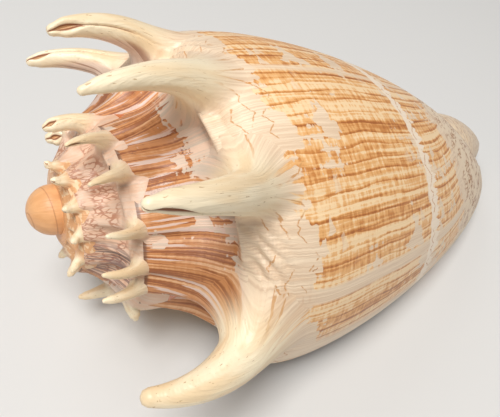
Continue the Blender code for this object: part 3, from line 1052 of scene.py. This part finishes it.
def spireColour(spot):
    # Penultimate whorl: pinkish, with a net of thin lines and dark stripes on its younger part
    net = markOn(spot, "net", "spireNet")
    patches = times(stepAt(spot.across, "spireNetAcross"), stepOn(spot, "spireNetPatches"))
    colour = mixed(stepAt(spot.lines["Streak"], "spirePale"), tone["spirePink"], tone["rampPale"])
    colour = painted(colour, times(net, patches), "spireLine", "spireNet")
    place = times(stepAt(spot.rawAlong, "spireStripesAlong"), stepAt(spot.across, "spireStripesAcross"))
    return painted(colour, times(stepOn(spot, "spireStripes"), place), "spireStripe", "spireStripes")


def domeColour(spot):
    # The suture of the larval shell winds round it as a thin line
    turned = maths("DIVIDE", spot.rawAlong, turn * apexDome["radius"] * 1000)
    winding = plus(maths("DIVIDE", spot.across, finish["domePitch"]), turned)
    line = bump01(maths("FRACT", winding), 0.5, finish["domeLineHalf"])
    colour = painted(tone["dome"], stepOnRaw(spot, "domeShade"), "domeShade")
    return painted(colour, line, "domeLine", "domeLine")


def spineColour(spot):
    colour = painted(tone["spine"], stepOnRaw(spot, "spineShade"), "spineShade")
    colour = painted(colour, stepOnRaw(spot, "spineSpecks"), "spineSpeck", "spineSpecks")
    # Towards the suture the older spines of the last whorl stand on a pinkish web with dark folds
    web = times(stepAt(spot.across, "webAcross"), stepAt(spot.rawAlong, "webStart"))
    web = times(web, stepAt(spot.rawAlong, "webEnd"))
    webColour = painted(tone["web"], stepOnRaw(spot, "webFolds"), "webFold", "webFolds")
    colour = mixed(scaled(web, strengths["web"]), colour, webColour)
    # Painted shade, partly the spine's own tint: the slot's groove is darkened to a brown rim, with its
    # pinkish inside lighter
    colour = painted(colour, stepAt(spot.slot, "slotEdgeTintAndShade"), "slotEdgeTintAndShade")
    return painted(colour, stepAt(spot.slot, "slotInside"), "slotInside")


def rectangleMask(spot):
    # Faint rectangles where growth lines cross fine threads, above the last spine
    mask = maths("MAXIMUM", stepOn(spot, "threads"), stepOn(spot, "bars"))
    mask = times(mask, bump01(spot.rawAlong, *spans["rectanglesAlong"]))
    mask = times(mask, bump01(spot.across, *spans["rectanglesAcross"]))
    return times(mask, stepAt(spot.spine, "rectanglesOffSpine"))


def pillarColour(spot):
    # Glazed orange inside the mouth, pale and streaked at the front end
    pale = painted(tone["front"], stepOnRaw(spot, "pillarStreaks"), "frontStreak")
    pale = painted(pale, stepOnRaw(spot, "pillarSpecks"), "frontNet", "pillarSpecks")
    return mixed(stepAt(spot.across, "pillarPale"), tone["mouth"], pale)


def newMaterial(name):
    material = bpy.data.materials.new(name)
    material.use_nodes = True
    building.tree = material.node_tree
    return material, material.node_tree.nodes["Principled BSDF"]


def setSurface(surface, look, colour, height):
    strength, distance = look["relief"]
    relief = addNode("ShaderNodeBump", {"Height": height, "Strength": strength, "Distance": distance})
    building.tree.links.new(colour, surface.inputs["Base Color"])
    building.tree.links.new(relief.outputs[0], surface.inputs["Normal"])
    for name, value in look["surface"].items():
        surface.inputs[name].default_value = value


def shellOutside():
    material, surface = newMaterial("shellOutside")
    spot = readSpot()
    bands, whiteLine = flankMasks(spot)
    colour = flankColour(spot, bands, whiteLine)
    colour = mixed(stepAt(spot.across, "rampAcross"), colour, rampColour(spot))
    colour = mixed(stepAt(spot.rawAlong, "olderAlong"), colour, spireColour(spot))
    earlyColour = painted(tone["early"], stepOn(spot, "earlyMottle"), "earlyPale")
    colour = mixed(maths("MINIMUM", spot.early, 1.0), colour, earlyColour)
    colour = mixed(stepAt(spot.early, "domeMark"), colour, domeColour(spot))
    colour = mixed(stepAt(spot.spine, "spineMark"), colour, spineColour(spot))
    colour = painted(colour, rectangleMask(spot), "thinLine", "rectangles")
    colour = mixed(spot.pillar, colour, pillarColour(spot))
    lipEdge = times(stepAt(spot.inside, "lipEdge"), stepAt(spot.pillar, "offPillar"))
    colour = painted(colour, lipEdge, "lipEdge")

    # The shoulder is more wrinkled than the rest
    shoulder = bump01(spot.across, *spans["wrinklesAcross"])
    wrinkled = times(shoulder, stepAt(spot.early, "wrinklesOffEarly"))
    wrinkled = times(grainOn(spot, "wrinkles"), wrinkled)
    height = maths("MULTIPLY_ADD", wrinkled, finish["wrinkleHeight"], spot.lines["Height"])
    setSurface(surface, finish, colour, height)
    rough = scaled(grainOnRaw(spot, "worn"), *finish["worn"])
    building.tree.links.new(rough, surface.inputs["Roughness"])
    return material


glaze = {
    "relief": (0.15, 0.0004),
    "surface": {"Roughness": 0.22, "Coat Weight": 0.4, "Coat Roughness": 0.12},
}


def shellMouth():
    material, surface = newMaterial("shellMouth")
    along = scaled(attributeOf("along"), 1000.0)
    across = scaled(attributeOf("across"), 1000.0)
    lines = placeGroup("growthRelief", along, across)
    colour = shades(along, "lipEdge", "mouth", "mouthDeep")
    setSurface(surface, glaze, colour, lines["Height"])
    return material


def plainMaterial(name, colour, roughness):
    material, surface = newMaterial(name)
    surface.inputs["Base Color"].default_value = (*colour, 1)
    surface.inputs["Roughness"].default_value = roughness
    return material


view = {
    "place": (-0.0946, -0.0946, 0.1773),
    "looks": (0.3559, 0.5123, -0.7816),
    "up": (0.3001, 0.7294, 0.6148),
    "lens": 40.48,
    "sensor": 36,
    "near": 0.01,
}


def addCamera():
    data = bpy.data.cameras.new("camera")
    data.lens = view["lens"]
    data.sensor_width = view["sensor"]
    data.clip_start = view["near"]
    camera = bpy.data.objects.new("camera", data)
    looks = Vector(view["looks"]).normalized()
    right = looks.cross(Vector(view["up"])).normalized()
    up = right.cross(looks)
    turned = Matrix((right, up, -looks)).transposed().to_4x4()
    camera.matrix_world = Matrix.Translation(view["place"]) @ turned
    bpy.context.scene.collection.objects.link(camera)
    bpy.context.scene.camera = camera


def addLamp(name, place, target, power, size):
    data = bpy.data.lights.new(name, "AREA")
    data.energy = power
    data.size = size
    lamp = bpy.data.objects.new(name, data)
    lamp.location = place
    lamp.rotation_euler = (Vector(target) - Vector(place)).to_track_quat("-Z", "Y").to_euler()
    bpy.context.scene.collection.objects.link(lamp)


ground = {
    "half": 3.0,
    "colour": (0.70, 0.69, 0.67),
    "roughness": 0.9,
}


def addFloor():
    mesh = bpy.data.meshes.new("floor")
    half = ground["half"]
    corners = [(-half, -half, 0), (half, -half, 0), (half, half, 0), (-half, half, 0)]
    mesh.from_pydata(corners, [], [(0, 1, 2, 3)])
    floor = bpy.data.objects.new("floor", mesh)
    mesh.materials.append(plainMaterial("floor", ground["colour"], ground["roughness"]))
    bpy.context.scene.collection.objects.link(floor)


light = {
    "target": (0, 0, 0.03),
    # Place, power in watts, size
    "lamps": {
        "key": ((-0.25, -0.15, 0.95), 8.6, 0.40),
        "window": ((-0.10, 0.55, 0.85), 1.0, 0.36),
        "fill": ((-0.7, -0.7, 0.6), 0.6, 0.9),
    },
    "sky": (1.0, 0.975, 0.95),
    "skyStrength": 0.22,
}


def addLight():
    for name, (place, power, size) in light["lamps"].items():
        addLamp(name, place, light["target"], power, size)
    world = bpy.data.worlds.new("studio")
    world.use_nodes = True
    background = world.node_tree.nodes["Background"]
    background.inputs["Color"].default_value = (*light["sky"], 1)
    background.inputs["Strength"].default_value = light["skyStrength"]
    bpy.context.scene.world = world


angles, runs, places = buildBody()
buildMouth(angles, runs, places)
for name, values in spines.items():
    buildSpine(name, values, *spineShape["finer" if values[5] > spineShape["bigFrom"] else "coarser"])
buildApex()
buildPillar()
groupInputs = {
    toothedBand: ("From", "To", "Edge", "Patches", "Teeth", "Combs", "Seed"),
    brokenZigzag: ("Level", "Height", "Spacing", "Width", "Breaks", "Seed"),
    tents: ("Length", "Height", "Share", "Seed"),
    net: ("Cell", "Tall", "Width", "Seed"),
    growthRelief: (),
}
groups = {draw.__name__: newGroup(draw, inputs) for draw, inputs in groupInputs.items()}
materials = [shellOutside(), shellMouth()]
for name in pieces:
    joinPiece(name, materials)
bpy.context.scene.view_settings.view_transform = "Standard"
addCamera()
addLight()
addFloor()
